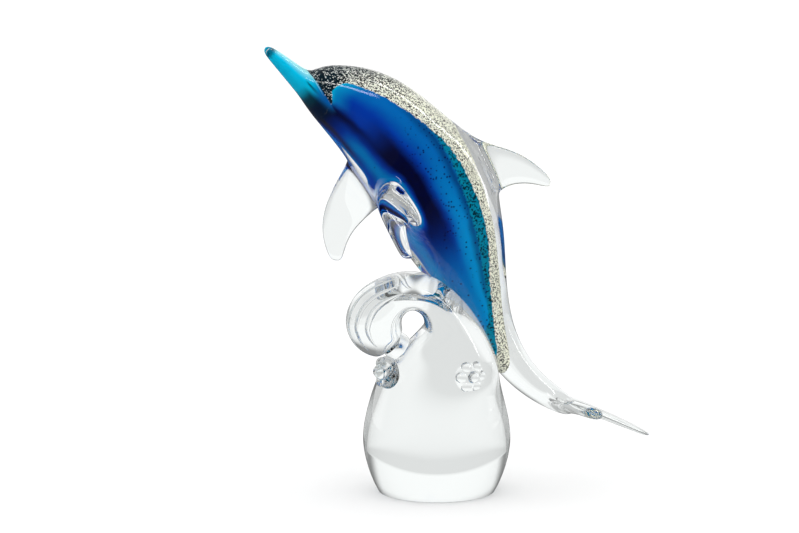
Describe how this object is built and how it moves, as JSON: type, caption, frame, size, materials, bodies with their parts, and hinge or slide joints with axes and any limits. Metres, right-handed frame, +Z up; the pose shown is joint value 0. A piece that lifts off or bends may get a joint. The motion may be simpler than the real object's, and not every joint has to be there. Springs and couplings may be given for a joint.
{
  "type": "glass dolphin figurine",
  "caption": "Ornament of solid blown glass: a dolphin with a blue core and a silvery back leaps over a curling wave of clear glass that stands on its own flat foot.",
  "frame": {"origin": "centre of the flat round underside that the wave base stands on", "axes": "+Z up; the beak, and the curl of the wave, point to -X; -Y is the side the picture was taken from"},
  "size_m": [0.1729, 0.0842, 0.1988],
  "materials": {
    "blue_cased_glass": "polished, clear glass over a cobalt blue core",
    "clear_glass": "polished, clear with a faint grey-green tint"
  },
  "bodies": {
    "root": {"dolphin": "blue_cased_glass", "wave_base": "clear_glass"}
  },
  "joints": []
}
